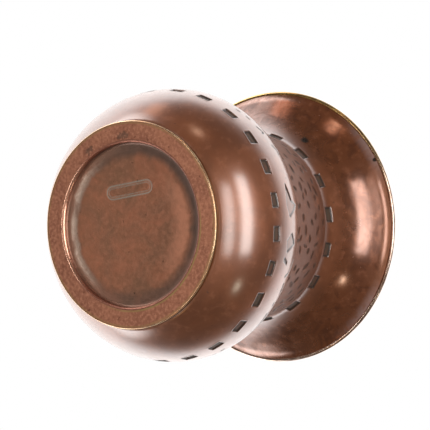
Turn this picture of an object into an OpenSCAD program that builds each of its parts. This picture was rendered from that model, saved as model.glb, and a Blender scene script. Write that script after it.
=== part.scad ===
// Spun copper vessel: squat round body, waisted neck, trumpet rim with a bead, low flat foot.
// Millimetres. The axis is Z, the mouth is up, and the origin is at the middle of the foot's face.

/* [Foot] */
// Diameter of the foot
foot_d = 85; // [80:1:90]
// Height of the foot
foot_h = 2.2; // [2:0.1:3]
// Thickness of the band round the foot
band_t = 0.9; // [0.7:0.1:1.2]
// Rounding of the band's two outer edges
band_edge = 0.5; // [0.3:0.1:0.6]
// Diameter of the recess in the foot
recess_d = 67.2; // [60:0.2:70]
// Width of the rounded lip round the recess
lip_w = 1.2; // [1.1:0.1:1.4]
// Fillet inside the recess
recess_fillet = 1.4; // [1.4:0.1:2]
// Radius of the gentle bend between the fillet and the domed middle
bend_r = 10; // [6:0.5:14]
// Angle at which the fillet runs into the bend
bend_turn = 20; // [12:1:22]
// Angle at which the bend runs into the domed middle
dome_turn = 3; // [2:0.5:5]

/* [Body] */
// Thickness of the copper sheet
sheet_t = 1.2; // [1:0.1:1.5]
// Largest diameter of the body
belly_d = 114.2; // [110:0.2:118]
// Height of the largest diameter
belly_z = 31; // [28:0.5:34]
// Radius of the shoulder's curve
shoulder_r = 25.5; // [23:0.5:28]
// Angle that the shoulder turns through before it reverses into the neck
shoulder_turn = 50; // [45:1:55]

/* [Neck and rim] */
// Outer diameter of the neck
neck_d = 82; // [78:0.5:86]
// Height where the neck starts to flare
flare_z = 85.8; // [84:0.1:87]
// Radius of the tight curve at the root of the flare
root_r = 13.5; // [10:0.5:20]
// Angle from the axis at the end of the tight curve
root_turn = 22; // [15:1:30]
// Angle from the axis of the flare's straight part
cone_turn = 47; // [45:0.5:50]
// Radius of the lip's curve
lip_r = 12; // [8:0.5:15]
// Angle from the axis where the lip meets the bead
lip_turn = 66; // [63:1:72]
// Overall height
height = 113.6; // [110:0.2:118]
// Diameter of the rim over its bead
rim_d = 120.8; // [116:0.2:124]
// Diameter of the bead
bead_d = 2.0; // [1.8:0.1:2.6]
// Height of the joint between body and neck
seam_z = 58; // [56:0.5:60]

/* [Etched rows] */
// Number of recesses round the belly
belly_count = 25; // [20:1:28]
// Height of the belly row
belly_row_z = 23.5; // [20:0.5:26]
// Turn of the belly row about the axis, in degrees
belly_row_turn = 2.7; // [0:0.1:14]
// Number of recesses round the top of the neck
neck_count = 17; // [12:1:20]
// Height of the neck row
neck_row_z = 89.2; // [88:0.1:91]
// Turn of the neck row about the axis, in degrees
neck_row_turn = -8.3; // [-20:0.1:20]
// Length of one recess along the row
etch_w = 6; // [5:0.1:7]
// Height of one recess
etch_h = 3.2; // [2.6:0.1:4]
// Depth of one recess at its middle
etch_depth = 0.45; // [0.3:0.05:0.6]

/* [Hidden] */
$fn = 180;

copper = "#a5664a";
polished = "#b06a48";
dark_copper = "#7d4a3a";
brass = "#b9974e";

// foot
foot_r = foot_d / 2;
recess_r = recess_d / 2;
bore_r = recess_r + lip_w;          // bore of the foot plate, and the hole in the body's floor
plate_r = foot_r - band_t;

// recessed disc: a corner that turns in from the bore, a gentle bend, and a domed middle
disc_corner = recess_fillet + sheet_t;
corner_c = [bore_r - disc_corner, lip_w];
bend_c = corner_c + (recess_fillet - bend_r) * [sin(bend_turn), cos(bend_turn)];
dome_r = bend_r + bend_c[0] / sin(dome_turn);
dome_c = bend_c + (bend_r - dome_r) * [sin(dome_turn), cos(dome_turn)];

// body: a lower arc from the foot to the belly, a shoulder arc, and a hollow arc into the neck
belly_r = belly_d / 2;
lower_rise = belly_z - foot_h;
lower_out = belly_r - foot_r;
lower_r = (lower_rise * lower_rise + lower_out * lower_out) / (2 * lower_out);
lower_c = [belly_r - lower_r, belly_z];
lower_turn = asin(lower_rise / lower_r);
floor_z = foot_h + sheet_t;
floor_turn = asin((belly_z - floor_z) / (lower_r - sheet_t));
shoulder_c = [belly_r - shoulder_r, belly_z];
neck_r = neck_d / 2;
shoulder_end_r = shoulder_c[0] + shoulder_r * cos(shoulder_turn);
hollow_r = (shoulder_end_r - neck_r) / (1 - cos(shoulder_turn));
hollow_c = [neck_r + hollow_r, belly_z + (shoulder_r + hollow_r) * sin(shoulder_turn)];

// lap joint on the hollow arc, as angles below its top
seam_gap = 0.5;                     // height of the braze
lap = 4;                            // length of the sleeve below the seam
lap_above = 2.5;                    // length of the sleeve above it
deg = 180 / PI;
seam_turn = asin((hollow_c[1] - seam_z) / hollow_r);
braze_turn = seam_turn + seam_gap / hollow_r * deg;
sleeve_low = braze_turn + lap / hollow_r * deg;
sleeve_high = seam_turn - lap_above / hollow_r * deg;

// flare: a tight root curve, a gentle curve, a straight part, and a lip curve that ends in the bead.
// The radius of the gentle curve and the length of the straight part close the line.
bead_r = bead_d / 2;
bead_c = [rim_d / 2 - bead_r, height - bead_r];
bead_grip = 0.3;                    // the sheet stops this far short of the bead's middle
function toward(turn) = [-cos(turn), sin(turn)];   // from the centre of a flare curve to the sheet
function along(turn) = [sin(turn), cos(turn)];     // up the sheet
lip_end = bead_c - sheet_t / 2 * toward(lip_turn) - bead_grip * along(lip_turn);
gap = lip_end - [neck_r, flare_z] - root_r * (toward(root_turn) - toward(0))
      - lip_r * (toward(lip_turn) - toward(cone_turn));
gentle_way = toward(cone_turn) - toward(root_turn);
straight_way = along(cone_turn);
gentle_r = cross(gap, straight_way) / cross(gentle_way, straight_way);
straight_l = cross(gentle_way, gap) / cross(gentle_way, straight_way);
root_c = [neck_r + root_r, flare_z];
gentle_c = root_c + (root_r - gentle_r) * toward(root_turn);
lip_c = gentle_c + (gentle_r - lip_r) * toward(cone_turn) + straight_l * straight_way;

// Points along an arc in the R-Z plane. Angles are from +R, anticlockwise.
function arc(c, r, from, to, n) =
    [for (i = [0:n]) let (a = from + (to - from) * i / n) [c[0] + r * cos(a), c[1] + r * sin(a)]];

// Radius of the body's lower arc and of the flare's root at height z
function lower_at(z) = lower_c[0] + sqrt(pow(lower_r, 2) - pow(z - lower_c[1], 2));
function root_at(z) = root_c[0] - sqrt(pow(root_r, 2) - pow(z - root_c[1], 2));

// The flare from the neck to the lip, inside its outer face by depth
function flare(depth) = concat(
    arc(root_c, root_r + depth, 180, 180 - root_turn, 6),
    arc(gentle_c, gentle_r + depth, 180 - root_turn - 1, 180 - cone_turn, 10),
    arc(lip_c, lip_r + depth, 180 - cone_turn, 180 - lip_turn, 6));
function reversed(points) = [for (i = [len(points) - 1:-1:0]) points[i]];

module ring(points) {
    rotate_extrude() polygon(points);
}

// A row of rectangular cutters, each square to a surface that leans by lean degrees.
// Turns are measured from -Y.
module etched_row(count, turn, r, z, lean) {
    for (i = [0:count - 1])
        rotate([0, 0, turn - 90 + i * 360 / count])
            translate([r, 0, z])
                rotate([0, lean, 0])
                    cube([2 * etch_depth, etch_w, etch_h], center = true);
}

module foot_plate() {
    color(copper)
        ring([[bore_r, 0], [plate_r, 0], [plate_r, foot_h], [bore_r, foot_h]]);
}

module foot_band() {
    color(brass)
        ring(concat(
            [[plate_r, 0]],
            arc([foot_r - band_edge, band_edge], band_edge, -90, 0, 4),
            arc([foot_r - band_edge, foot_h - band_edge], band_edge, 0, 90, 4),
            [[plate_r, foot_h]]));
}

module recess_lip() {
    color(polished)
        ring(concat([[bore_r, lip_w]], arc([bore_r, lip_w], lip_w, 180, 270, 8)));
}

// The disc's face, or its back when depth is the sheet's thickness, from the edge to the axis.
function disc_side(depth) = concat(
    arc(corner_c, recess_fillet + depth, 0, 90 - bend_turn, 8),
    arc(bend_c, bend_r + depth, 94 - bend_turn, 90 - dome_turn, 4),
    arc(dome_c, dome_r + depth, 90.4 - dome_turn, 90, 6));

module base_disc() {
    color(dark_copper)
        ring(concat(disc_side(sheet_t), reversed(disc_side(0))));
}

module bowl_body() {
    color(polished)
        difference() {
            ring(concat(
                [[bore_r, foot_h]],
                arc(lower_c, lower_r, -lower_turn, 0, 24),
                arc(shoulder_c, shoulder_r, 2, shoulder_turn, 20),
                arc(hollow_c, hollow_r, 180 + shoulder_turn - 1, 180 + braze_turn, 8),
                arc(hollow_c, hollow_r + sheet_t, 180 + braze_turn, 180 + shoulder_turn - 1, 8),
                arc(shoulder_c, shoulder_r - sheet_t, shoulder_turn, 2, 20),
                arc(lower_c, lower_r - sheet_t, 0, -floor_turn, 24),
                [[bore_r, floor_z]]));
            etched_row(belly_count, belly_row_turn, lower_at(belly_row_z), belly_row_z,
                       asin((belly_z - belly_row_z) / lower_r));
        }
}

module flared_neck() {
    color(polished)
        difference() {
            ring(concat(
                arc(hollow_c, hollow_r, 180 + seam_turn, 180, 8),
                flare(0),
                reversed(flare(sheet_t)),
                arc(hollow_c, hollow_r + sheet_t, 180, 180 + sleeve_high, 6),
                arc(hollow_c, hollow_r + 2 * sheet_t, 180 + sleeve_high, 180 + sleeve_low, 8),
                arc(hollow_c, hollow_r + sheet_t, 180 + sleeve_low, 180 + seam_turn, 6)));
            etched_row(neck_count, neck_row_turn, root_at(neck_row_z), neck_row_z,
                       asin((neck_row_z - flare_z) / root_r));
        }
}

// Round bead with a slot that grips the edge of the trumpet.
module rim_bead() {
    slot_from = lip_turn - 15;
    color(brass)
        rotate_extrude()
            difference() {
                translate(bead_c) circle(r = bead_r, $fn = 48);
                polygon(concat(
                    arc(lip_c, lip_r, 180 - slot_from, 180 - lip_turn, 6),
                    arc(lip_c, lip_r + sheet_t, 180 - lip_turn, 180 - slot_from, 6)));
            }
}

module neck_braze() {
    color(brass)
        ring(concat(
            arc(hollow_c, hollow_r, 180 + braze_turn, 180 + seam_turn, 1),
            arc(hollow_c, hollow_r + sheet_t, 180 + seam_turn, 180 + braze_turn, 1)));
}

// Fills the groove between the disc's corner, the foot plate's bore and the body's floor.
module base_braze() {
    spill = 1;      // width over the floor
    crown = 0.1;    // height over the floor
    fill_turn = asin((floor_z + crown - lip_w) / disc_corner);
    color(brass)
        ring(concat(
            [[bore_r + spill, floor_z]],
            arc(corner_c, disc_corner, fill_turn, 0, 6),
            [[bore_r, floor_z]]));
}

foot_plate();
foot_band();
recess_lip();
base_disc();
bowl_body();
flared_neck();
rim_bead();
neck_braze();
base_braze();
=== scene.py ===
"""Visual model of a spun copper vessel: squat round body, waisted neck, trumpet rim, low flat foot.

Lengths are in millimetres until a mesh is made. The axis is Z, with the mouth up.
A turn about the axis is in degrees, from -Y towards +X.
"""

import math
import random

import bpy
import numpy as np
from mathutils import Matrix, Vector


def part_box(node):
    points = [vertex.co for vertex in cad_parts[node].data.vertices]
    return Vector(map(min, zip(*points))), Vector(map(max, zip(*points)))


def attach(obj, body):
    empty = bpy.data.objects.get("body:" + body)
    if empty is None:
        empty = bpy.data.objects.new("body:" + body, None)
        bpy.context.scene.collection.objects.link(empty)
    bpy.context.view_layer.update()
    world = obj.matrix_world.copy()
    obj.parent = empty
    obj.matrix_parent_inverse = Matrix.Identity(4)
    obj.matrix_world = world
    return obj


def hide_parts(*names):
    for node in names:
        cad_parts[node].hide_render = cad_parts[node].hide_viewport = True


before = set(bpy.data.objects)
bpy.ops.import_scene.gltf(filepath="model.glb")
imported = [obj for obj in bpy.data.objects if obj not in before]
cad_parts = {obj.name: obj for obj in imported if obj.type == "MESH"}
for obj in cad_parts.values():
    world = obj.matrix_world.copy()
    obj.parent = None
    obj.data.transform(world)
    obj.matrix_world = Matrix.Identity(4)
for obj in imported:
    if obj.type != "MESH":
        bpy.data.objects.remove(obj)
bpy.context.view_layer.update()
MM = 0.001
rng = random.Random(17)


# ---------------------------------------------------------------- sizes


def radius_of(node):
    lo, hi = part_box(node)
    return min(hi.x, hi.y, -lo.x, -lo.y) / MM


def heights_of(node):
    lo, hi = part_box(node)
    return lo.z / MM, hi.z / MM


foot_r = radius_of("foot_band")
foot_h = heights_of("foot_band")[1]
plate_r = radius_of("foot_plate")
bore_r = radius_of("recess_lip")
lip_w = heights_of("recess_lip")[1]
belly_r = radius_of("bowl_body")
rim_r = radius_of("rim_bead")
bead_low, height = heights_of("rim_bead")
bead_r = (height - bead_low) / 2

sheet_t = 1.2
band_edge = 0.5
recess_fillet = 1.4
bend_r, bend_turn = 10.0, 20.0
dome_turn = 3.0
belly_z = 31.0
shoulder_r = 25.5
shoulder_turn = 50.0
neck_r = 41.0
flare_z = 85.8
root_r, root_turn = 13.5, 22.0
cone_turn = 47.0
lip_r, lip_turn = 12.0, 66.0
seam_z = 58.0
seam_gap = 0.5
lap_below, lap_above = 4.0, 2.5
bead_grip = 0.3

floor_z = foot_h + sheet_t
lower_rise, lower_out = belly_z - foot_h, belly_r - foot_r
lower_r = (lower_rise**2 + lower_out**2) / (2 * lower_out)
lower_c = (belly_r - lower_r, belly_z)
lower_turn = math.degrees(math.asin(lower_rise / lower_r))
floor_turn = math.degrees(math.asin((belly_z - floor_z) / (lower_r - sheet_t)))
shoulder_c = (belly_r - shoulder_r, belly_z)
shoulder_end = shoulder_c[0] + shoulder_r * math.cos(math.radians(shoulder_turn))
hollow_r = (shoulder_end - neck_r) / (1 - math.cos(math.radians(shoulder_turn)))
hollow_c = (neck_r + hollow_r, belly_z + (shoulder_r + hollow_r) * math.sin(math.radians(shoulder_turn)))
seam_turn = math.degrees(math.asin((hollow_c[1] - seam_z) / hollow_r))
braze_turn = seam_turn + math.degrees(seam_gap / hollow_r)
sleeve_low = braze_turn + math.degrees(lap_below / hollow_r)
sleeve_high = seam_turn - math.degrees(lap_above / hollow_r)
bead_c = np.array([rim_r - bead_r, height - bead_r])


def out_from(turn):
    """Direction from the centre of a flare curve to the sheet, for the sheet's lean from the axis."""
    return np.array([-math.cos(math.radians(turn)), math.sin(math.radians(turn))])


def up_sheet(turn):
    return np.array([math.sin(math.radians(turn)), math.cos(math.radians(turn))])


# The flare: a tight root curve, a gentle curve, a straight part, and a lip curve that ends in the bead.
lip_end = bead_c - sheet_t / 2 * out_from(lip_turn) - bead_grip * up_sheet(lip_turn)
gap = lip_end - np.array([neck_r, flare_z]) - root_r * (out_from(root_turn) - out_from(0))
gap -= lip_r * (out_from(lip_turn) - out_from(cone_turn))
ways = np.column_stack([out_from(cone_turn) - out_from(root_turn), up_sheet(cone_turn)])
gentle_r, straight_l = np.linalg.solve(ways, gap)
root_c = np.array([neck_r + root_r, flare_z])
gentle_c = root_c + (root_r - gentle_r) * out_from(root_turn)
lip_c = gentle_c + (gentle_r - lip_r) * out_from(cone_turn) + straight_l * up_sheet(cone_turn)


def disc_way(turn):
    """Direction from the centre of a disc curve to the sheet, for the face's lean from level."""
    return np.array([math.sin(math.radians(turn)), math.cos(math.radians(turn))])


# The recessed disc: a corner that turns in from the bore, a gentle bend, and a domed middle.
corner_c = np.array([bore_r - recess_fillet - sheet_t, lip_w])
bend_c = corner_c + (recess_fillet - bend_r) * disc_way(bend_turn)
dome_r = bend_r + bend_c[0] / math.sin(math.radians(dome_turn))
dome_c = bend_c + (bend_r - dome_r) * disc_way(dome_turn)
middle_r = dome_r * math.sin(math.radians(dome_turn))


# ---------------------------------------------------------------- lathed meshes


def arc(centre, radius, start, end, step=0.05):
    """Points (r, z) about step apart. Angles are from +R towards +Z."""
    count = max(1, round(abs(math.radians(end - start)) * radius / step))
    a = np.radians(np.linspace(start, end, count + 1))
    return np.column_stack([centre[0] + radius * np.cos(a), centre[1] + radius * np.sin(a)])


def flare(depth=0.0, step=0.05):
    """The flare from the neck to the lip, inside its outer face by depth."""
    gentle = arc(gentle_c, gentle_r + depth, 180 - root_turn, 180 - cone_turn, step)
    lip = arc(lip_c, lip_r + depth, 180 - cone_turn, 180 - lip_turn, step)
    straight = np.linspace(gentle[-1], lip[0], max(2, round(straight_l / step)))[1:-1]
    return np.vstack([arc(root_c, root_r + depth, 180, 180 - root_turn, step), gentle[1:], straight, lip])


class Path:
    """A dense line in the R-Z plane, sampled by the distance along it.
    It runs upwards, so its normals point away from the axis."""

    def __init__(self, *runs):
        points = np.vstack(runs)
        gaps = np.hypot(*np.diff(points, axis=0).T)
        keep = np.concatenate([[True], gaps > 1e-9])
        self.points = points[keep]
        self.s = np.concatenate([[0], np.cumsum(gaps[gaps > 1e-9])])
        self.length = self.s[-1]
        along = np.gradient(self.points, self.s, axis=0)
        along /= np.hypot(*along.T)[:, None]
        self.normals = np.column_stack([along[:, 1], -along[:, 0]])

    def at(self, s):
        """Points and normals at distances s, as two arrays of pairs."""
        take = lambda table: np.column_stack([np.interp(s, self.s, table[:, i]) for i in (0, 1)])
        return take(self.points), take(self.normals)

    def distance_at(self, z):
        return float(np.interp(z, self.points[:, 1], self.s))


def stations(length, zones, coarse):
    """Distances from 0 to length, coarse apart, but closer inside each zone (from, to, step)."""
    edges = [0.0]
    steps = []
    for low, high, step in zones:
        edges += [low, high]
        steps += [coarse, step]
    edges.append(length)
    steps.append(coarse)
    out = [np.array([0.0])]
    for low, high, step in zip(edges, edges[1:], steps):
        if high > low:
            out.append(np.linspace(low, high, max(1, math.ceil((high - low) / step)) + 1)[1:])
    return np.concatenate(out)


def lathe(name, rows, turns, marks=None, sharp=50.0):
    """A closed mesh round the axis. rows holds (r, z) for each row, or for each row and turn.
    Rows that start and end on the axis close there; other rows join the last to the first.
    marks holds named values for each row and turn, kept as attributes for the materials."""
    columns = len(turns)
    rows = np.asarray(rows, float)
    if rows.ndim == 2:
        rows = np.repeat(rows[:, None, :], columns, axis=1)
    a = np.radians(turns)
    r, z = rows[..., 0], rows[..., 1]
    points = np.stack([r * np.sin(a), -r * np.cos(a), z], axis=-1) * MM
    on_axis = np.all(np.abs(r) < 1e-9, axis=1)
    first, number, kept = [], 0, []
    for i, pole in enumerate(on_axis):
        first.append(number)
        number += 1 if pole else columns
        kept.append(points[i, :1] if pole else points[i])
    faces = []
    loop = range(len(rows)) if not on_axis.any() else range(len(rows) - 1)
    for i in loop:
        k = (i + 1) % len(rows)
        j = np.arange(columns)
        after = (j + 1) % columns
        if on_axis[i]:
            quads = np.column_stack([np.full(columns, first[i]), first[k] + after, first[k] + j])
        elif on_axis[k]:
            quads = np.column_stack([first[i] + j, first[i] + after, np.full(columns, first[k])])
        else:
            quads = np.column_stack([first[i] + j, first[i] + after, first[k] + after, first[k] + j])
        faces += quads.tolist()
    co = np.vstack(kept)
    corner = co[[f[0] for f in faces]]
    area = np.cross(co[[f[1] for f in faces]] - corner, co[[f[2] for f in faces]] - corner)
    if np.einsum("ij,ij->", corner, area) < 0:
        faces = [f[::-1] for f in faces]
    mesh = bpy.data.meshes.new(name)
    mesh.from_pydata(co.tolist(), [], faces)
    for key, values in (marks or {}).items():
        values = np.broadcast_to(values, (len(rows), columns))
        flat = np.concatenate([values[i, :1] if pole else values[i] for i, pole in enumerate(on_axis)])
        mesh.attributes.new(key, "FLOAT", "POINT").data.foreach_set("value", flat.astype(np.float32))
    mesh.update()
    mesh.shade_smooth()
    mesh.set_sharp_from_angle(angle=math.radians(sharp))
    made = bpy.data.objects.new(name, mesh)
    bpy.context.scene.collection.objects.link(made)
    return made


def even_turns(count):
    return np.arange(count) * 360.0 / count


def offset(points, normals, depth):
    """Rows moved inwards by depth, which is given for each row and turn."""
    return points[:, None, :] - normals[:, None, :] * depth[..., None]


# ---------------------------------------------------------------- etched marks

WALL = 0.5  # width over which an etched edge drops
RIDGE_OUT, RIDGE_W = 0.45, 0.3  # raised lip round a mark: how far outside it, and its width
# The dark line inside a mark's edge is painted shade, standing for the shadow on the etched wall.
SHADE_LINE_IN, SHADE_LINE_W = 0.15, 0.42  # dark line inside a mark's edge: how far inside it, and its width
MARK_REACH = 2.0  # a mark changes the surface up to this far past its outline


def smooth(x):
    x = np.clip(x, 0, 1)
    return x * x * (3 - 2 * x)


def distance_to(u, v, outline, closed=True):
    """Signed distance to a polygon, negative inside, or plain distance to an open line."""
    outline = np.asarray(outline, float)
    best = np.full(u.shape, 1e9)
    inside = np.zeros(u.shape, bool)
    count = len(outline)
    for i in range(count if closed else count - 1):
        a, b = outline[i], outline[(i + 1) % count]
        e = b - a
        k = np.clip(((u - a[0]) * e[0] + (v - a[1]) * e[1]) / (e @ e), 0, 1)
        best = np.minimum(best, np.hypot(u - a[0] - e[0] * k, v - a[1] - e[1] * k))
        if closed:
            crosses = (a[1] > v) != (b[1] > v)
            inside ^= crosses & (u < a[0] + (v - a[1]) * e[0] / (e[1] if abs(e[1]) > 1e-9 else 1e-9))
    return np.where(inside, -best, best)


class Etching:
    """Depth, patina and painted shade along the edge of the marks etched into a lathed surface."""

    def __init__(self, path, s, turns):
        self.path, self.s, self.turns = path, s, turns
        self.r = path.at(s)[0][:, 0]
        shape = (len(s), len(turns))
        self.depth, self.patina, self.edge = (np.zeros(shape) for _ in range(3))

    def cut(self, turn, z, outline, depth, patina, edge=1.0, lip=0.0, half_width=None):
        """Etches an outline given in millimetres, across and along the surface, about a turn and a height.
        With half_width, the outline is an open line of that half width."""
        s0 = self.path.distance_at(z)
        reach = float(np.abs(outline).max()) + MARK_REACH
        rows = np.flatnonzero(np.abs(self.s - s0) < reach)
        away = (self.turns - turn + 180) % 360 - 180
        r0 = float(np.interp(s0, self.s, self.r))
        columns = np.flatnonzero(np.abs(np.radians(away)) * r0 < reach)
        u = np.radians(away[columns])[None, :] * self.r[rows][:, None]
        v = np.repeat((self.s[rows] - s0)[:, None], len(columns), axis=1)
        d = distance_to(u, v, outline, closed=half_width is None)
        if half_width is not None:
            d = d - half_width
        inside = smooth(0.5 - d / WALL)
        ridge = lip * np.exp(-(((d - RIDGE_OUT) / RIDGE_W) ** 2))
        # edge scales a dark line of painted shade just inside the outline, where the etched wall would be in
        # shadow.
        line = edge * np.exp(-(((d + SHADE_LINE_IN) / SHADE_LINE_W) ** 2))
        here = np.ix_(rows, columns)
        self.depth[here] = np.maximum(self.depth[here], depth * inside) - ridge
        self.patina[here] = np.maximum(self.patina[here], patina * inside)
        self.edge[here] = np.maximum(self.edge[here], line)


def turned(outline, degrees):
    c, s = math.cos(math.radians(degrees)), math.sin(math.radians(degrees))
    return [(u * c - v * s, u * s + v * c) for u, v in outline]


def uneven_rectangle(width, tall, jitter=0.16):
    corners = [(-1, -1), (1, -1), (1, 1), (-1, 1)]
    return [
        (u * width / 2 + rng.uniform(-jitter, jitter), v * tall / 2 + rng.uniform(-jitter, jitter))
        for u, v in corners
    ]


def leaf(length, width):
    """A pointed oval."""
    count = 14
    out = []
    for i in range(count):
        a = 2 * math.pi * i / count
        out.append((length / 2 * math.cos(a), width / 2 * math.sin(a) * abs(math.sin(a)) ** 0.5))
    return out


def waves(s, turns, s_scale, depth):
    """Slight unevenness of the hand-finished sheet, from 0 to depth."""
    total = np.zeros((len(s), len(turns)))
    a = np.radians(turns)[None, :]
    for _ in range(7):
        around, along = rng.randint(2, 13), rng.uniform(0.5, 3.0) / s_scale
        total += np.sin(around * a + 2 * math.pi * along * s[:, None] + rng.uniform(0, 6.28)) / 7
    return depth * (0.5 + 0.5 * total)


etch_w, etch_h, etch_depth = 6.0, 3.2, 0.45
row_reach, row_step = 2.9, 0.29  # fine mesh rows on each side of an etched row, and their spacing
body_columns, neck_columns = 34, 40  # mesh columns for each recess of a row
hump = 0.05  # greatest unevenness of the body and the neck


def cut_row(etching, count, first_turn, z, loose, lip):
    """Cuts a row of rectangles. loose holds how far off their turn, lean and height may be."""
    loose_turn, loose_lean, loose_z = loose
    for i in range(count):
        turn = first_turn + i * 360 / count + rng.uniform(-loose_turn, loose_turn)
        outline = turned(uneven_rectangle(etch_w, etch_h), rng.uniform(-loose_lean, loose_lean))
        off = rng.uniform(-loose_z, loose_z) if loose_z else 0.0
        etching.cut(turn, z + off, outline, etch_depth, 1.0, lip=lip)


# ---------------------------------------------------------------- body

belly_count, belly_row_z, belly_row_turn = 25, 23.5, 2.7
shoulder_low, shoulder_high = 29.6, 42.4  # heights between which the shoulder's marks lie
stroke_w = 0.56
shape_depth = 0.36

# Marks on the shoulder, as corners (turn, height). The group comes round three times.
SHOULDER_SHAPES = [
    ("area", [(-18.4, 32.2), (-11.4, 35.0), (-9.8, 40.2), (-4.4, 32.4), (-9.4, 30.8)]),
    ("area", [(2.0, 34.4), (6.6, 37.8), (10.0, 31.6), (5.0, 30.8)]),
    ("area", [(12.2, 30.6), (14.0, 33.2), (15.2, 33.0), (13.6, 30.4)]),
    ("line", [(13.6, 41.2), (19.4, 38.0), (20.6, 35.4)]),
    ("line", [(24.0, 37.0), (28.4, 37.6)]),
    ("line", [(33.0, 36.4), (34.4, 37.0)]),
    ("line", [(38.6, 36.2), (50.0, 38.4)]),
    ("line", [(39.0, 38.0), (47.0, 40.0)]),
    ("line", [(-57.6, 31.2), (-55.8, 31.6)]),
    ("line", [(-52.4, 32.6), (-50.8, 33.0)]),
    ("line", [(-46.0, 33.0), (-43.2, 35.2), (-42.4, 33.6)]),
    ("line", [(-36.2, 35.0), (-34.2, 38.6), (-32.0, 37.2)]),
]


def make_body():
    path = Path(
        arc(lower_c, lower_r, -lower_turn, 0),
        arc(shoulder_c, shoulder_r, 0, shoulder_turn),
        arc(hollow_c, hollow_r, 180 + shoulder_turn, 180 + braze_turn),
    )
    row_s = path.distance_at(belly_row_z)
    row_zone = (row_s - row_reach, row_s + row_reach, row_step)
    shoulder_zone = (path.distance_at(shoulder_low), path.distance_at(shoulder_high), 0.38)
    s = stations(path.length, [row_zone, shoulder_zone], 1.3)
    turns = even_turns(belly_count * body_columns)
    etching = Etching(path, s, turns)
    cut_row(etching, belly_count, belly_row_turn, belly_row_z, loose=(0.25, 3, 0.3), lip=0.08)
    for again in range(3):
        loose = 0.0 if again == 0 else 0.5
        for kind, corners in SHOULDER_SHAPES:
            corners = [
                (t + rng.uniform(-loose, loose), z + rng.uniform(-loose, loose) / 2)
                for t, z in corners
            ]
            turn, z = np.mean(corners, axis=0)
            s0, r0 = path.distance_at(z), path.at(path.distance_at(z))[0][0, 0]
            outline = [(math.radians(t - turn) * r0, path.distance_at(h) - s0) for t, h in corners]
            patina, half_width = (0.3, None) if kind == "area" else (0.8, stroke_w / 2)
            etching.cut(turn + 120 * again, z, outline, shape_depth, patina, half_width=half_width)
    points, normals = path.at(s)
    ends = smooth(s / 3) * smooth((path.length - s) / 3)
    depth = etching.depth + waves(s, turns, path.length, hump) * ends[:, None]
    outer = offset(points, normals, depth)
    outer[..., 0] = np.minimum(outer[..., 0], belly_r)
    inner = np.vstack([
        arc(hollow_c, hollow_r + sheet_t, 180 + braze_turn, 180 + shoulder_turn, 2.0),
        arc(shoulder_c, shoulder_r - sheet_t, shoulder_turn, 0, 3.0)[1:],
        arc(lower_c, lower_r - sheet_t, 0, -floor_turn, 3.2)[1:],
        [(bore_r, floor_z), (bore_r, foot_h)],
    ])
    return finish_sheet("vessel_body", outer, inner, turns, etching)


def finish_sheet(name, outer, inner, turns, etching):
    """Joins the detailed outside to the plain inside and marks which is which."""
    rows = np.concatenate([outer, np.repeat(inner[:, None, :], len(turns), axis=1)])
    pad = lambda values: np.concatenate([values, np.zeros((len(inner), len(turns)))])
    marks = {
        "patina": pad(etching.patina),
        "edge": pad(etching.edge),
        "inside": np.concatenate([np.zeros(len(outer)), np.ones(len(inner))])[:, None],
    }
    return lathe(name, rows, turns, marks)


# ---------------------------------------------------------------- neck and rim

neck_count, neck_row_z, neck_row_turn = 17, 89.2, -8.3
leaf_rows = (64.0, 67.8, 71.6, 75.6, 79.8, 83.6)
leaves_in_row = 40
leaves_missing = 0.12  # share of the leaves that are left out
leaf_low, leaf_high = 61.5, 86.2  # heights between which the leaves lie
leaf_depth = 0.24


def make_neck():
    path = Path(
        arc(hollow_c, hollow_r, 180 + seam_turn, 180),
        np.column_stack([np.full(60, neck_r), np.linspace(hollow_c[1], flare_z, 60)]),
        flare(),
    )
    row_s = path.distance_at(neck_row_z)
    row_zone = (row_s - row_reach, row_s + row_reach, row_step)
    leaf_zone = (path.distance_at(leaf_low), path.distance_at(leaf_high), 0.4)
    s = stations(path.length, [leaf_zone, row_zone], 1.2)
    turns = even_turns(neck_count * neck_columns)
    etching = Etching(path, s, turns)
    cut_row(etching, neck_count, neck_row_turn, neck_row_z, loose=(0.3, 2, 0), lip=0.05)
    for row, row_z in enumerate(leaf_rows):
        for i in range(leaves_in_row):
            if rng.random() < leaves_missing:
                continue
            turn = (i + 0.5 * (row % 2)) * 360 / leaves_in_row + rng.uniform(-2.4, 2.4)
            outline = turned(leaf(rng.uniform(2.2, 5.0), rng.uniform(0.8, 1.6)), rng.gauss(0, 26))
            z = row_z + rng.uniform(-1.4, 1.4)
            etching.cut(turn, z, outline, leaf_depth, rng.uniform(0.15, 0.7), edge=0.5, lip=0.03)
    points, normals = path.at(s)
    ends = smooth(s / 3) * smooth((path.length - s) / 3)
    depth = etching.depth + waves(s, turns, path.length, hump) * ends[:, None]
    inner = np.vstack([
        flare(sheet_t, 2.6)[::-1],
        [(neck_r - sheet_t, z) for z in np.linspace(flare_z, hollow_c[1], 6)[1:]],
        arc(hollow_c, hollow_r + sheet_t, 180, 180 + sleeve_high, 2.0)[1:],
        arc(hollow_c, hollow_r + 2 * sheet_t, 180 + sleeve_high, 180 + sleeve_low, 2.0),
        arc(hollow_c, hollow_r + sheet_t, 180 + sleeve_low, 180 + seam_turn, 2.0),
    ])
    return finish_sheet("vessel_neck", offset(points, normals, depth), inner, turns, etching)


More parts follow.
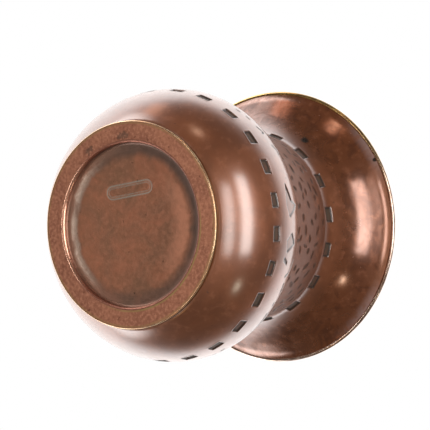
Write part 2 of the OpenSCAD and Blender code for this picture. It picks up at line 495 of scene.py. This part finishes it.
def make_bead():
    """Round bead with a slot that grips the edge of the trumpet."""
    across, along = out_from(lip_turn), up_sheet(lip_turn)
    half = sheet_t / 2
    bottom = [bead_c - along * bead_grip + across * side * half for side in (1, -1)]
    opening = math.asin(half / bead_r)
    middle = math.atan2(*(-along)[::-1])
    sweep = np.linspace(middle + opening, middle - opening + 2 * math.pi, 30)
    ring = [(bead_c[0] + bead_r * math.cos(a), bead_c[1] + bead_r * math.sin(a)) for a in sweep]
    if np.hypot(*(np.array(ring[-1]) - bottom[0])) > np.hypot(*(np.array(ring[-1]) - bottom[1])):
        bottom.reverse()
    return lathe("rim_bead_round", ring + [tuple(p) for p in bottom], even_turns(480), sharp=40)


# ---------------------------------------------------------------- foot


def make_foot_plate():
    bottom = np.linspace(bore_r, plate_r, 14)
    turns = even_turns(540)
    under = np.zeros((len(bottom), len(turns), 2))
    under[..., 0] = bottom[:, None]
    rise = waves(bottom - bore_r, turns, plate_r - bore_r, 0.03)
    ends = smooth((bottom - bore_r) / 1.0) * smooth((plate_r - bottom) / 1.0)
    under[..., 1] = rise * ends[:, None]
    top = np.repeat(np.array([(plate_r, foot_h), (bore_r, foot_h)])[:, None, :], len(turns), axis=1)
    return lathe("foot_ring_plate", np.concatenate([under, top]), turns)


def make_foot_band():
    rows = np.vstack([
        [(plate_r, 0)],
        arc((foot_r - band_edge, band_edge), band_edge, -90, 0, 0.08),
        arc((foot_r - band_edge, foot_h - band_edge), band_edge, 0, 90, 0.08),
        [(plate_r, foot_h)],
    ])
    return lathe("foot_brass_band", rows, even_turns(540), sharp=40)


def make_lip():
    rows = np.vstack([[(bore_r, lip_w)], arc((bore_r, lip_w), lip_w, 180, 270, 0.15)])
    return lathe("recess_round_lip", rows, even_turns(540), sharp=40)


# Plain plaque with round ends, on the foot's recessed disc
PLAQUE_CENTRE = (-14.3, 2.8)
PLAQUE_HALF_LENGTH = 8.6  # from its middle to the middle of a round end
PLAQUE_HALF_WIDTH = 2.7
PLAQUE_LEAN = 9.9
PLAQUE_LINE_W = 0.26  # width of its outline
INNER_LINE_IN, INNER_LINE_W = 0.95, 0.18  # finer line inside the outline
PLAQUE_LINE_DEPTH, PLAQUE_FIELD_DEPTH = 0.14, 0.05


def make_disc():
    turns = even_turns(540)
    middle = np.concatenate([np.arange(0, 8, 1.0), np.arange(8, 26, 0.4), np.arange(26, middle_r, 0.8)])
    under = np.vstack([
        np.column_stack([middle, dome_c[1] + np.sqrt(dome_r**2 - middle**2)]),
        arc(bend_c, bend_r, 90 - dome_turn, 90 - bend_turn, 0.25),
        arc(corner_c, recess_fillet, 90 - bend_turn, 0, 0.15)[1:],
    ])
    inward = np.linspace(middle_r, 0, 14)[1:]
    back = np.vstack([
        arc(corner_c, recess_fillet + sheet_t, 0, 90 - bend_turn, 0.5),
        arc(bend_c, bend_r + sheet_t, 90 - bend_turn, 90 - dome_turn, 0.8)[1:],
        np.column_stack([inward, dome_c[1] + np.sqrt((dome_r + sheet_t) ** 2 - inward**2)]),
    ])
    rows = np.repeat(np.vstack([under, back])[:, None, :], len(turns), axis=1)
    a = np.radians(turns)[None, :]
    x, y = rows[..., 0] * np.sin(a), -rows[..., 0] * np.cos(a)
    lean = math.radians(PLAQUE_LEAN)
    across_x, across_y = x - PLAQUE_CENTRE[0], y - PLAQUE_CENTRE[1]
    u = -across_y * math.cos(lean) - across_x * math.sin(lean)
    v = across_x * math.cos(lean) - across_y * math.sin(lean)
    spine = [(-PLAQUE_HALF_LENGTH, 0), (PLAQUE_HALF_LENGTH, 0)]
    d = distance_to(u, v, spine, closed=False) - PLAQUE_HALF_WIDTH
    below = np.zeros(len(rows))
    below[: len(middle)] = 1
    line = np.exp(-((d / PLAQUE_LINE_W) ** 2)) + 0.7 * np.exp(-(((d + INNER_LINE_IN) / INNER_LINE_W) ** 2))
    line = np.clip(line, 0, 1)
    field = smooth(-d / WALL)
    rows[..., 1] += below[:, None] * (PLAQUE_LINE_DEPTH * line + PLAQUE_FIELD_DEPTH * field)
    marks = {
        "patina": below[:, None] * line,
        "edge": 0 * line,
        "inside": np.concatenate([np.zeros(len(under)), np.ones(len(back))])[:, None],
    }
    return lathe("foot_recess_disc", rows, turns, marks)


def make_neck_braze():
    rows = np.vstack([
        arc(hollow_c, hollow_r, 180 + braze_turn, 180 + seam_turn, 0.25),
        arc(hollow_c, hollow_r + sheet_t, 180 + seam_turn, 180 + braze_turn, 0.25),
    ])
    return lathe("neck_seam_braze", rows, even_turns(360))


def make_base_braze():
    spill, crown = 1.0, 0.1
    disc_corner = recess_fillet + sheet_t
    turn = math.degrees(math.asin((floor_z + crown - lip_w) / disc_corner))
    rows = np.vstack([
        [(bore_r + spill, floor_z)],
        arc(corner_c, disc_corner, turn, 0, 0.4),
        [(bore_r, floor_z)],
    ])
    return lathe("base_fillet_braze", rows, even_turns(360), sharp=40)


# ---------------------------------------------------------------- materials


class Nodes:
    """A node tree. node() returns a node, and the other calls return a socket."""

    def __init__(self, owner):
        owner.use_nodes = True
        self.tree = owner.node_tree
        self.tree.nodes.clear()

    def node(self, kind, values=None, **settings):
        made = self.tree.nodes.new(kind)
        for key, value in settings.items():
            setattr(made, key, value)
        for key, value in (values or {}).items():
            if isinstance(value, bpy.types.NodeSocket):
                self.tree.links.new(value, made.inputs[key])
            else:
                made.inputs[key].default_value = value
        return made

    def math(self, operation, a, b=0.0, clamp=False):
        return self.node("ShaderNodeMath", {0: a, 1: b}, operation=operation, use_clamp=clamp).outputs[0]

    def spread(self, value, low, high, to_low=0.0, to_high=1.0):
        """Maps value from low..high to to_low..to_high, eased and clamped."""
        values = {"Value": value, "From Min": low, "From Max": high, "To Min": to_low, "To Max": to_high}
        return self.node("ShaderNodeMapRange", values, interpolation_type="SMOOTHSTEP").outputs[0]


class Shader(Nodes):
    """A material. Its spot is the place on the vessel."""

    def __init__(self, name):
        self.material = bpy.data.materials.new(name)
        super().__init__(self.material)
        self.spot = self.node("ShaderNodeTexCoord").outputs["Object"]

    def noise(self, where, scale, detail=3.0, rough=0.55, warp=0.0):
        values = {"Vector": where, "Scale": scale, "Detail": detail, "Roughness": rough, "Distortion": warp}
        return self.node("ShaderNodeTexNoise", values).outputs["Fac"]

    def mix(self, factor, a, b):
        made = self.node("ShaderNodeMix", {0: factor, 6: a, 7: b}, data_type="RGBA")
        return made.outputs[2]

    def mark(self, name):
        return self.node("ShaderNodeAttribute", attribute_name=name).outputs["Fac"]

    def around(self):
        """Distance from the axis and height in metres, and the direction from the axis as x and y."""
        parts = self.node("ShaderNodeSeparateXYZ", {0: self.spot})
        x, y, z = (parts.outputs[i] for i in range(3))
        r = self.math("SQRT", self.math("ADD", self.math("MULTIPLY", x, x), self.math("MULTIPLY", y, y)))
        safe = self.math("MAXIMUM", r, 0.0005)
        return r, z, self.math("DIVIDE", x, safe), self.math("DIVIDE", y, safe)

    def spin_space(self, tightness):
        """Coordinates in which noise runs round the axis as fine turning lines."""
        r, z, x, y = self.around()
        near = self.node("ShaderNodeCombineXYZ", {0: x, 1: y, 2: 0.0}).outputs[0]
        slow = self.node("ShaderNodeVectorMath", {0: near, "Scale": 0.6}, operation="SCALE").outputs[0]
        turned_up = self.node("ShaderNodeCombineXYZ", {
            0: self.math("MULTIPLY", r, tightness),
            1: self.math("MULTIPLY", z, tightness),
            2: 0.0,
        }).outputs[0]
        return self.node("ShaderNodeVectorMath", {0: slow, 1: turned_up}, operation="ADD").outputs[0]

    def reach(self, length, low, high, to_low=0.0, to_high=1.0):
        """Maps a length as spread does, with low and high in millimetres."""
        return self.spread(length, low * MM, high * MM, to_low, to_high)

    def blots(self, places, ragged):
        """Soft spots, each given as a turn, a radius, a height and a size. Noise makes them ragged."""
        total = 0.0
        for turn, r, z, size in places:
            a = math.radians(turn)
            centre = (r * math.sin(a) * MM, -r * math.cos(a) * MM, z * MM)
            gap = self.node("ShaderNodeVectorMath", {0: self.spot, 1: centre}, operation="DISTANCE")
            loose = self.math("MULTIPLY", self.math("SUBTRACT", ragged, 0.5), 2 * size * MM)
            away = self.math("ADD", gap.outputs["Value"], loose)
            total = self.math("MAXIMUM", total, self.reach(away, 0.5 * size, size, 1.0, 0.0))
        return total

    def pitted(self, tone):
        """The tone with small dark pits."""
        pits = self.spread(self.noise(self.spot, 420, 2, 0.5), 0.68, 0.76, 0.0, 0.5)
        return self.mix(pits, tone, SOOT)

    def bump(self, height, distance, under=None):
        values = {"Height": height, "Distance": distance}
        if under is not None:
            values["Normal"] = under
        return self.node("ShaderNodeBump", values).outputs["Normal"]

    def surface(self, **values):
        """The Principled shader. Underscores stand for spaces in socket names."""
        named = {key.replace("_", " "): value for key, value in values.items()}
        shader = self.node("ShaderNodeBsdfPrincipled", named)
        out = self.node("ShaderNodeOutputMaterial")
        self.tree.links.new(shader.outputs[0], out.inputs[0])
        return self.material


def rgb(r, g, b):
    return (r, g, b, 1.0)


def on_flare(turn, z, size):
    """A blot's place on the outer face of the flare."""
    line = flare()
    return turn, float(np.interp(z, line[:, 1], line[:, 0])), z, size


def on_foot(turn, r, size):
    """A blot's place on the face of the foot."""
    return turn, r, 0.0, size


DARK = rgb(0.12, 0.055, 0.035)
GREY_GREEN = rgb(0.085, 0.055, 0.036)
SOOT = rgb(0.02, 0.014, 0.011)
FLARE_CHIPS = [on_flare(-31, 111.5, 1.3), on_flare(-58, 96.3, 2.0)]
FOOT_SMUDGES = [
    on_foot(-126, 36.7, 1.7), on_foot(-123, 36.9, 1.5),
    on_foot(-99, 36.6, 1.5), on_foot(-96, 36.6, 1.8), on_foot(-93.5, 36.6, 1.4),
]


def polished_copper(name, coat_roughness, chips=()):
    """Body and neck: brown polish under a glossy coat, etching darkened by patina and by painted shade along
    its edges, and a duller, darker inside.
    The neck's stem is dull, and the flare is worn in patches, with a painted lilac and orange reflection on
    one side of its lip."""
    m = Shader(name)
    broad = m.noise(m.spot, 42, 4, 0.6, 0.4)
    small = m.noise(m.spot, 260, 5, 0.6)
    mottle = m.noise(m.spot, 120, 5, 0.65, 0.9)
    grain = m.noise(m.spot, 1500, 2, 0.5)
    spin = m.noise(m.spin_space(900), 1.0, 3, 0.6)
    specks = m.spread(m.noise(m.spot, 620, 2, 0.5), 0.70, 0.78)
    _, z, x, y = m.around()
    flare_part = m.reach(z, 91, 100)
    stem = m.math("MULTIPLY", m.reach(z, 57, 63), m.reach(z, 85, 89, 1.0, 0.0))
    patina, edge, inside = m.mark("patina"), m.mark("edge"), m.mark("inside")

    tone = m.mix(m.spread(broad, 0.36, 0.66), rgb(0.28, 0.090, 0.034), rgb(0.20, 0.064, 0.025))
    tone = m.mix(m.math("MULTIPLY", flare_part, 0.5), tone, rgb(0.19, 0.064, 0.027))
    dull = m.math("MULTIPLY", flare_part, m.spread(mottle, 0.48, 0.64, 0.0, 0.6))
    tone = m.mix(dull, tone, rgb(0.11, 0.042, 0.024))
    tone = m.mix(m.math("MULTIPLY", stem, 0.75), tone, rgb(0.155, 0.058, 0.030))
    # Painted reflection: lilac and orange tones on one side of the flare's lip, where it would catch the
    # lights.
    sides = m.spread(m.math("ABSOLUTE", x), 0.30, 0.60)
    lilac = m.math("MULTIPLY", sides, m.spread(mottle, 0.25, 0.55))
    lip_reflection_tone = m.mix(lilac, rgb(0.52, 0.23, 0.13), rgb(0.62, 0.46, 0.46))
    lip_reflection_mask = m.math("MULTIPLY", m.reach(z, 109, 112.5), m.spread(y, -0.85, -0.50, 0.8, 0.0))
    tone = m.mix(m.math("MULTIPLY", lip_reflection_mask, m.spread(mottle, 0.30, 0.60, 0.6, 1.0)), tone, lip_reflection_tone)
    tone = m.mix(m.spread(small, 0.50, 0.74, 0.0, 0.35), tone, rgb(0.42, 0.16, 0.08))
    tone = m.mix(m.spread(spin, 0.55, 0.8, 0.0, 0.22), tone, DARK)
    tone = m.mix(m.math("MULTIPLY", specks, 0.7), tone, DARK)
    tone = m.mix(m.math("MULTIPLY", inside, 0.55), tone, DARK)
    tone = m.mix(patina, tone, m.mix(m.spread(small, 0.4, 0.62), GREY_GREEN, DARK))
    # Painted shade: a dark line just inside the edge of each etched mark.
    tone = m.mix(m.math("MULTIPLY", edge, 0.95), tone, SOOT)
    if chips:
        tone = m.mix(m.blots(chips, mottle), tone, SOOT)

    rough = m.spread(small, 0.3, 0.75, 0.38, 0.5)
    rough = m.math("SUBTRACT", rough, m.math("MULTIPLY", flare_part, 0.23))
    rough = m.math("ADD", rough, m.math("MULTIPLY", specks, 0.2))
    rough = m.math("ADD", rough, m.math("MULTIPLY", inside, 0.12))
    rough = m.math("ADD", rough, m.math("MULTIPLY", patina, 0.35), clamp=True)
    metal = m.math("SUBTRACT", 0.5, m.math("MULTIPLY", patina, 0.35), clamp=True)

    coat = m.math("SUBTRACT", 1.0, m.math("MULTIPLY", patina, 0.85), clamp=True)
    worn = m.math("MULTIPLY", flare_part, m.spread(mottle, 0.38, 0.62, 0.38, 0.72))
    for loss in (m.math("MULTIPLY", stem, 0.9), m.math("MULTIPLY", inside, 0.85), worn):
        coat = m.math("MULTIPLY", coat, m.math("SUBTRACT", 1.0, loss))

    normal = m.bump(spin, 0.00001)
    normal = m.bump(grain, 0.000012, under=normal)
    normal = m.bump(m.math("MULTIPLY", m.noise(m.spot, 900, 3), patina), 0.0002, under=normal)
    return m.surface(Base_Color=tone, Metallic=metal, Roughness=rough, Normal=normal,
                     Coat_Weight=coat, Coat_IOR=2.0, Coat_Roughness=coat_roughness)


def satin_foot(name):
    """Foot ring: satin, with small spots and smudges, and brass showing where it is rubbed."""
    m = Shader(name)
    r, _, x, y = m.around()
    broad = m.noise(m.spot, 70, 4, 0.6, 0.5)
    small = m.noise(m.spot, 700, 4, 0.6)
    spin = m.noise(m.spin_space(1300), 1.0, 3, 0.6)
    tone = m.mix(m.spread(broad, 0.35, 0.65), rgb(0.52, 0.225, 0.138), rgb(0.41, 0.17, 0.107))
    tone = m.mix(m.spread(small, 0.45, 0.65, 0.0, 0.6), tone, rgb(0.68, 0.33, 0.21))
    tone = m.mix(m.spread(small, 0.30, 0.45, 0.5, 0.0), tone, rgb(0.26, 0.10, 0.06))
    spots = m.spread(m.noise(m.spot, 330, 3, 0.6), 0.66, 0.72)
    tone = m.mix(m.math("MULTIPLY", spots, 0.75), tone, rgb(0.14, 0.045, 0.03))
    one_side = m.spread(m.math("SUBTRACT", x, y), 0.4, 1.2)
    worn = m.math("MULTIPLY", m.reach(r, 35.2, 35.8, 1.0, 0.0), one_side)
    worn = m.math("MAXIMUM", worn, m.reach(r, 41.0, 41.6))
    worn = m.math("MULTIPLY", worn, m.spread(small, 0.3, 0.6, 0.4, 0.9))
    smudge = m.math("MULTIPLY", m.blots(FOOT_SMUDGES, small), 0.55)
    tone = m.mix(smudge, tone, rgb(0.10, 0.075, 0.06))
    tone = m.mix(worn, tone, rgb(0.42, 0.30, 0.12))
    rough = m.spread(small, 0.3, 0.7, 0.42, 0.56)
    normal = m.bump(spin, 0.00004)
    normal = m.bump(small, 0.00004, under=normal)
    return m.surface(Base_Color=tone, Metallic=0.8, Roughness=rough, Normal=normal)


def recess_copper(name):
    """Disc in the foot: reddish middle, a painted highlight as a brighter arc on one side, dark patina
    towards the fillet, and a painted silvery reflection on the other side."""
    m = Shader(name)
    r, _, x, y = m.around()
    patina, inside = m.mark("patina"), m.mark("inside")
    broad = m.noise(m.spot, 60, 5, 0.62, 0.8)
    small = m.noise(m.spot, 520, 4, 0.6)
    spin = m.noise(m.spin_space(1000), 1.0, 3, 0.6)
    patches = m.noise(m.spot, 150, 5, 0.65, 1.2)
    tone = m.mix(m.spread(broad, 0.34, 0.68), rgb(0.50, 0.21, 0.125), rgb(0.35, 0.175, 0.11))
    tone = m.mix(m.spread(patches, 0.42, 0.68, 0.0, 0.28), tone, rgb(0.26, 0.15, 0.085))
    tone = m.mix(m.spread(small, 0.45, 0.7, 0.0, 0.3), tone, rgb(0.60, 0.28, 0.18))
    # Painted highlight: a brighter arc on one side of the disc, where its fillet would catch the light.
    painted_highlight_arc = m.math("MULTIPLY", m.reach(r, 17, 24), m.reach(r, 26.2, 28.5, 1.0, 0.0))
    painted_highlight_arc = m.math("MULTIPLY", painted_highlight_arc, m.spread(y, -1.0, -0.5, 0.6, 0.0))
    tone = m.mix(painted_highlight_arc, tone, rgb(0.85, 0.39, 0.25))
    ragged = m.math("ADD", r, m.math("MULTIPLY", m.math("SUBTRACT", broad, 0.5), 5 * MM))
    ring = m.reach(ragged, 26.5, 30.5)
    shade = m.math("MULTIPLY", ring, m.spread(m.math("ADD", x, y), -1.4, 0.0, 0.9, 0.6))
    tone = m.mix(shade, tone, rgb(0.17, 0.115, 0.095))
    # Painted reflection: a silvery band in the fillet on one side, where it would reflect the strip lights.
    silver_reflection_mask = m.math("MULTIPLY", m.reach(ragged, 27.8, 29.6), m.reach(ragged, 30.6, 32.2, 1.0, 0.0))
    silver_reflection_mask = m.math("MULTIPLY", silver_reflection_mask, m.spread(y, 0.45, 0.95))
    silver_reflection_mask = m.math("MULTIPLY", silver_reflection_mask, m.spread(patches, 0.3, 0.6, 0.35, 1.0))
    tone = m.mix(silver_reflection_mask, tone, rgb(0.56, 0.43, 0.36))
    spots = m.spread(m.noise(m.spot, 300, 3, 0.6), 0.68, 0.74)
    tone = m.mix(m.math("MULTIPLY", spots, 0.7), tone, rgb(0.06, 0.035, 0.025))
    tone = m.mix(m.math("MULTIPLY", patina, 0.8), tone, rgb(0.33, 0.38, 0.35))
    tone = m.mix(m.math("MULTIPLY", inside, 0.5), tone, DARK)
    rough = m.math("ADD", m.spread(small, 0.3, 0.7, 0.38, 0.5), m.math("MULTIPLY", patina, 0.25), clamp=True)
    metal = m.math("SUBTRACT", 0.85, m.math("MULTIPLY", patina, 0.75), clamp=True)
    normal = m.bump(spin, 0.00002)
    normal = m.bump(small, 0.00003, under=normal)
    return m.surface(Base_Color=tone, Metallic=metal, Roughness=rough, Normal=normal)


def brass_filler(name):
    """Braze: two tones of brass with a few pits."""
    m = Shader(name)
    broad = m.noise(m.spot, 160, 4, 0.6)
    small = m.noise(m.spot, 900, 4, 0.6)
    tone = m.mix(m.spread(broad, 0.35, 0.65), rgb(0.50, 0.36, 0.17), rgb(0.30, 0.20, 0.11))
    rough = m.spread(small, 0.3, 0.7, 0.3, 0.45)
    return m.surface(Base_Color=m.pitted(tone), Metallic=1.0, Roughness=rough, Normal=m.bump(small, 0.00002))


def rubbed_lip(name):
    """Lip of the recess: satin, but polished on one side, where a brighter tone also paints a highlight."""
    m = Shader(name)
    polish_and_highlight = m.spread(m.around()[3], 0.6, 0.92)
    small = m.noise(m.spot, 900, 4, 0.6)
    tone = m.mix(m.spread(small, 0.35, 0.65), rgb(0.40, 0.175, 0.12), rgb(0.30, 0.13, 0.09))
    # The brighter tone on the polished side is painted highlight. The lower roughness there is real polish.
    tone = m.mix(polish_and_highlight, tone, rgb(0.80, 0.46, 0.34))
    rough = m.math("ADD", m.spread(small, 0.3, 0.7, 0.16, 0.24), m.spread(polish_and_highlight, 0.0, 1.0, 0.22, 0.0))
    return m.surface(Base_Color=tone, Metallic=0.9, Roughness=rough, Normal=m.bump(small, 0.00002))


def rubbed_rim(name):
    """Bead of the rim: pale and pinkish, and golden on the rubbed side."""
    m = Shader(name)
    golden = m.spread(m.around()[2], -0.9, -0.1, 1.0, 0.0)
    small = m.noise(m.spot, 900, 4, 0.6)
    tone = m.mix(golden, rgb(0.78, 0.62, 0.54), rgb(0.62, 0.42, 0.16))
    broad = m.noise(m.spot, 160, 4, 0.6)
    tone = m.mix(m.spread(broad, 0.40, 0.70, 0.0, 0.6), tone, rgb(0.30, 0.17, 0.11))
    rough = m.spread(small, 0.3, 0.7, 0.16, 0.28)
    return m.surface(Base_Color=m.pitted(tone), Metallic=1.0, Roughness=rough, Normal=m.bump(small, 0.00002))


def rubbed_band(name):
    """Band round the foot: like the plate underneath, with brass showing on the rubbed edge."""
    m = Shader(name)
    r, z, _, _ = m.around()
    small = m.noise(m.spot, 900, 4, 0.6)
    broad = m.noise(m.spot, 160, 4, 0.6)
    under = m.reach(r, 41.8, 42.2, 1.0, 0.0)
    tone = m.mix(m.spread(broad, 0.35, 0.65), rgb(0.88, 0.64, 0.40), rgb(0.74, 0.46, 0.27))
    tone = m.mix(m.reach(z, 0.5, 0.9, 0.0, 0.75), tone, rgb(0.30, 0.18, 0.075))
    tone = m.mix(under, tone, rgb(0.50, 0.22, 0.13))
    rough = m.math("ADD", m.spread(small, 0.3, 0.7, 0.16, 0.26), m.math("MULTIPLY", under, 0.22))
    return m.surface(Base_Color=tone, Metallic=0.95, Roughness=rough, Normal=m.bump(small, 0.00002))


# ---------------------------------------------------------------- pieces

body_copper = polished_copper("body copper", coat_roughness=0.21)
neck_copper = polished_copper("neck copper", coat_roughness=0.15, chips=FLARE_CHIPS)
foot_satin = satin_foot("foot satin copper")
disc_copper = recess_copper("recess copper")
lip_copper = rubbed_lip("rubbed copper")
band_brass = rubbed_band("rubbed brass")
rim_brass = rubbed_rim("rim brass")
braze = brass_filler("braze")

PIECES = [
    (make_foot_plate, "foot_plate", "copper_foot", foot_satin),
    (make_foot_band, "foot_band", "brass_edge", band_brass),
    (make_lip, "recess_lip", "copper_lip", lip_copper),
    (make_disc, "base_disc", "copper_patina", disc_copper),
    (make_body, "bowl_body", "copper_body", body_copper),
    (make_neck, "flared_neck", "copper_neck", neck_copper),
    (make_bead, "rim_bead", "brass_edge", rim_brass),
    (make_neck_braze, "neck_braze", "braze", braze),
    (make_base_braze, "base_braze", "braze", braze),
]
for make, node, slot, material in PIECES:
    piece = make()
    piece.data.materials.append(material)
    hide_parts(node)
    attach(piece, "root")


# ---------------------------------------------------------------- camera

# The camera looks up at the foot, from below and in front. It is rolled, so the vessel lies on its side.
VIEW_TILT = math.radians(33.893)  # between the line of sight and the vessel's axis
VIEW_TURN = math.radians(1.132)  # between the vessel's axis and the picture's level
FOOT_AWAY = 917.98 * MM  # from the camera to the foot, along the line of sight
FOOT_RIGHT = -0.03806  # the foot's place off the line of sight, as a share of that distance
FOOT_DOWN = 0.00434
SENSOR = 36.0  # width of the sensor, and the focal length below, in camera millimetres
FOCAL = 189.04

ahead = Vector((0.0, math.sin(VIEW_TILT), math.cos(VIEW_TILT)))
across = Vector((0.0, math.cos(VIEW_TILT), -math.sin(VIEW_TILT)))
right = -math.sin(VIEW_TURN) * Vector((1, 0, 0)) - math.cos(VIEW_TURN) * across
up = -math.cos(VIEW_TURN) * Vector((1, 0, 0)) + math.sin(VIEW_TURN) * across

camera = bpy.data.objects.new("camera", bpy.data.cameras.new("camera"))
camera.data.sensor_width = SENSOR
camera.data.lens = FOCAL
camera.data.clip_start, camera.data.clip_end = 0.05, 20.0
placed = Matrix((right, up, -ahead)).transposed().to_4x4()
placed.translation = -FOOT_AWAY * (FOOT_RIGHT * right - FOOT_DOWN * up + ahead)
camera.matrix_world = placed
bpy.context.scene.collection.objects.link(camera)
bpy.context.scene.camera = camera


# ---------------------------------------------------------------- studio

VESSEL_MIDDLE = Vector((0, 0, 56 * MM))


def toward(right_deg, up_deg):
    """Unit vector from the vessel, as angles from the direction to the camera."""
    away = math.radians(math.hypot(right_deg, up_deg))
    phase = math.atan2(up_deg, right_deg)
    sideways = right * math.cos(phase) + up * math.sin(phase)
    return sideways * math.sin(away) - ahead * math.cos(away)


def softbox(name, right_deg, up_deg, width_deg, height_deg, radiance, colour, away=1.5):
    """A rectangular light that faces the vessel. Its place and its size are angles seen from the vessel."""
    light = bpy.data.lights.new(name, "AREA")
    light.shape = "RECTANGLE"
    light.size = 2 * away * math.tan(math.radians(width_deg / 2))
    light.size_y = 2 * away * math.tan(math.radians(height_deg / 2))
    light.energy = radiance * math.pi * light.size * light.size_y
    light.color = colour
    lamp = bpy.data.objects.new(name, light)
    outward = toward(right_deg, up_deg)
    level = (up - outward * up.dot(outward)).normalized()
    turn = Matrix((level.cross(outward), level, outward)).transposed().to_4x4()
    turn.translation = outward * away + VESSEL_MIDDLE
    lamp.matrix_world = turn
    lamp.visible_camera = False
    bpy.context.scene.collection.objects.link(lamp)


softbox("strip wide", 39, 8.5, 14, 54, 6.4, (1.0, 0.95, 0.92), away=0.5)
softbox("strip narrow", 17.5, 4.5, 10, 46, 4.6, (1.0, 0.95, 0.92), away=0.5)
softbox("strip left", -50, 0, 4, 60, 7.0, (1.0, 0.97, 0.92))
softbox("glow", -17, 0, 6, 46, 1.5, (1.0, 0.66, 0.48))
softbox("spark low", 36, -48, 5, 5, 9.0, (1.0, 0.9, 0.7))
softbox("spark high", -2, 72, 6, 6, 6.0, (1.0, 0.60, 0.40))
softbox("glow high", -38, 98, 18, 9, 2.0, (1.0, 0.50, 0.32))
softbox("ember", -34, -46, 9, 6, 3.0, (1.0, 0.5, 0.15))


BACKDROP = 2.4  # brightest part of the world
WORLD_STOPS = [
    (0, (0.26, 0.23, 0.20)), (30, (0.20, 0.17, 0.14)), (55, (0.11, 0.09, 0.07)), (100, (0.09, 0.075, 0.06)),
    (110, (0.20, 0.19, 0.19)), (117, (0.9, 0.9, 0.9)), (124, (1.9, 1.9, 1.95)), (133, (2.25, 2.25, 2.25)),
    (150, (1.85, 1.85, 1.85)), (165, (1.2, 1.2, 1.2)), (180, (0.95, 0.95, 0.95)),
]  # light from each angle off the direction to the camera
SHIFT_SIDES, SHIFT_UP, SHIFT_ALL = 18.0, 2.5, 5.4  # degrees by which those angles move
NEAR_PANEL, FAR_PANEL = 5.0, 1.9  # light of the two panels


def make_world():
    """White behind the vessel, dark brown round the camera, with two white panels on the left.
    Seen directly, it is white all over."""
    world = bpy.data.worlds.new("studio")
    bpy.context.scene.world = world
    w = Nodes(world)
    way = w.node("ShaderNodeTexCoord").outputs["Generated"]

    def part(axis):
        return w.node("ShaderNodeVectorMath", {0: way, 1: axis}, operation="DOT_PRODUCT").outputs["Value"]

    angle = w.math("MULTIPLY", w.math("ARCCOSINE", part(-ahead)), 180 / math.pi)
    left = part(-right)
    shift = w.math("MULTIPLY", w.math("ABSOLUTE", left), SHIFT_SIDES)
    shift = w.math("ADD", shift, w.math("MULTIPLY", part(up), SHIFT_UP))
    shift = w.math("SUBTRACT", shift, SHIFT_ALL)
    share = w.math("DIVIDE", w.math("ADD", angle, shift), 180)
    ramp = w.node("ShaderNodeValToRGB", {0: share})
    marks = ramp.color_ramp.elements
    while len(marks) < len(WORLD_STOPS):
        marks.new(0.5)
    for mark, (degrees, colour) in zip(marks, WORLD_STOPS):
        mark.position = degrees / 180
        mark.color = (*(c / BACKDROP for c in colour), 1)
    panels = w.math("MULTIPLY", w.spread(left, 0.40, 0.58), w.spread(left, 0.72, 0.85, 1.0, 0.0))
    panels = w.math("MULTIPLY", panels, w.spread(angle, 88, 95))
    panels = w.math("MULTIPLY", panels, w.spread(angle, 108, 115, NEAR_PANEL, FAR_PANEL))
    backdrop = w.node("ShaderNodeVectorMath", {0: ramp.outputs[0], "Scale": BACKDROP}, operation="SCALE")
    both = w.node("ShaderNodeVectorMath", {0: backdrop.outputs[0], 1: panels}, operation="MAXIMUM")
    light = both.outputs[0]
    seen = w.node("ShaderNodeBackground", {"Color": (1, 1, 1, 1)})
    lit = w.node("ShaderNodeBackground", {"Color": light})
    camera_ray = w.node("ShaderNodeLightPath").outputs["Is Camera Ray"]
    choose = w.node("ShaderNodeMixShader", {0: camera_ray, 1: lit.outputs[0], 2: seen.outputs[0]})
    w.node("ShaderNodeOutputWorld", {0: choose.outputs[0]})


def make_floor():
    """Pale floor. It is clear from below, where the camera stands."""
    half = 2.5
    mesh = bpy.data.meshes.new("floor")
    corners = [(-half, -half, 0), (half, -half, 0), (half, half, 0), (-half, half, 0)]
    mesh.from_pydata(corners, [], [(0, 1, 2, 3)])
    floor = bpy.data.objects.new("floor", mesh)
    floor.location.z = -0.0002
    bpy.context.scene.collection.objects.link(floor)
    material = bpy.data.materials.new("pale floor")
    m = Nodes(material)
    pale = m.node("ShaderNodeBsdfPrincipled", {"Base Color": (0.86, 0.86, 0.86, 1), "Roughness": 0.7})
    clear = m.node("ShaderNodeBsdfTransparent")
    below = m.node("ShaderNodeNewGeometry").outputs["Backfacing"]
    choose = m.node("ShaderNodeMixShader", {0: below, 1: pale.outputs[0], 2: clear.outputs[0]})
    m.node("ShaderNodeOutputMaterial", {0: choose.outputs[0]})
    mesh.materials.append(material)
    floor.visible_glossy = False
    floor.visible_diffuse = False
    floor.visible_shadow = False
    floor.visible_transmission = False


make_world()
make_floor()
bpy.context.scene.view_settings.view_transform = "Standard"
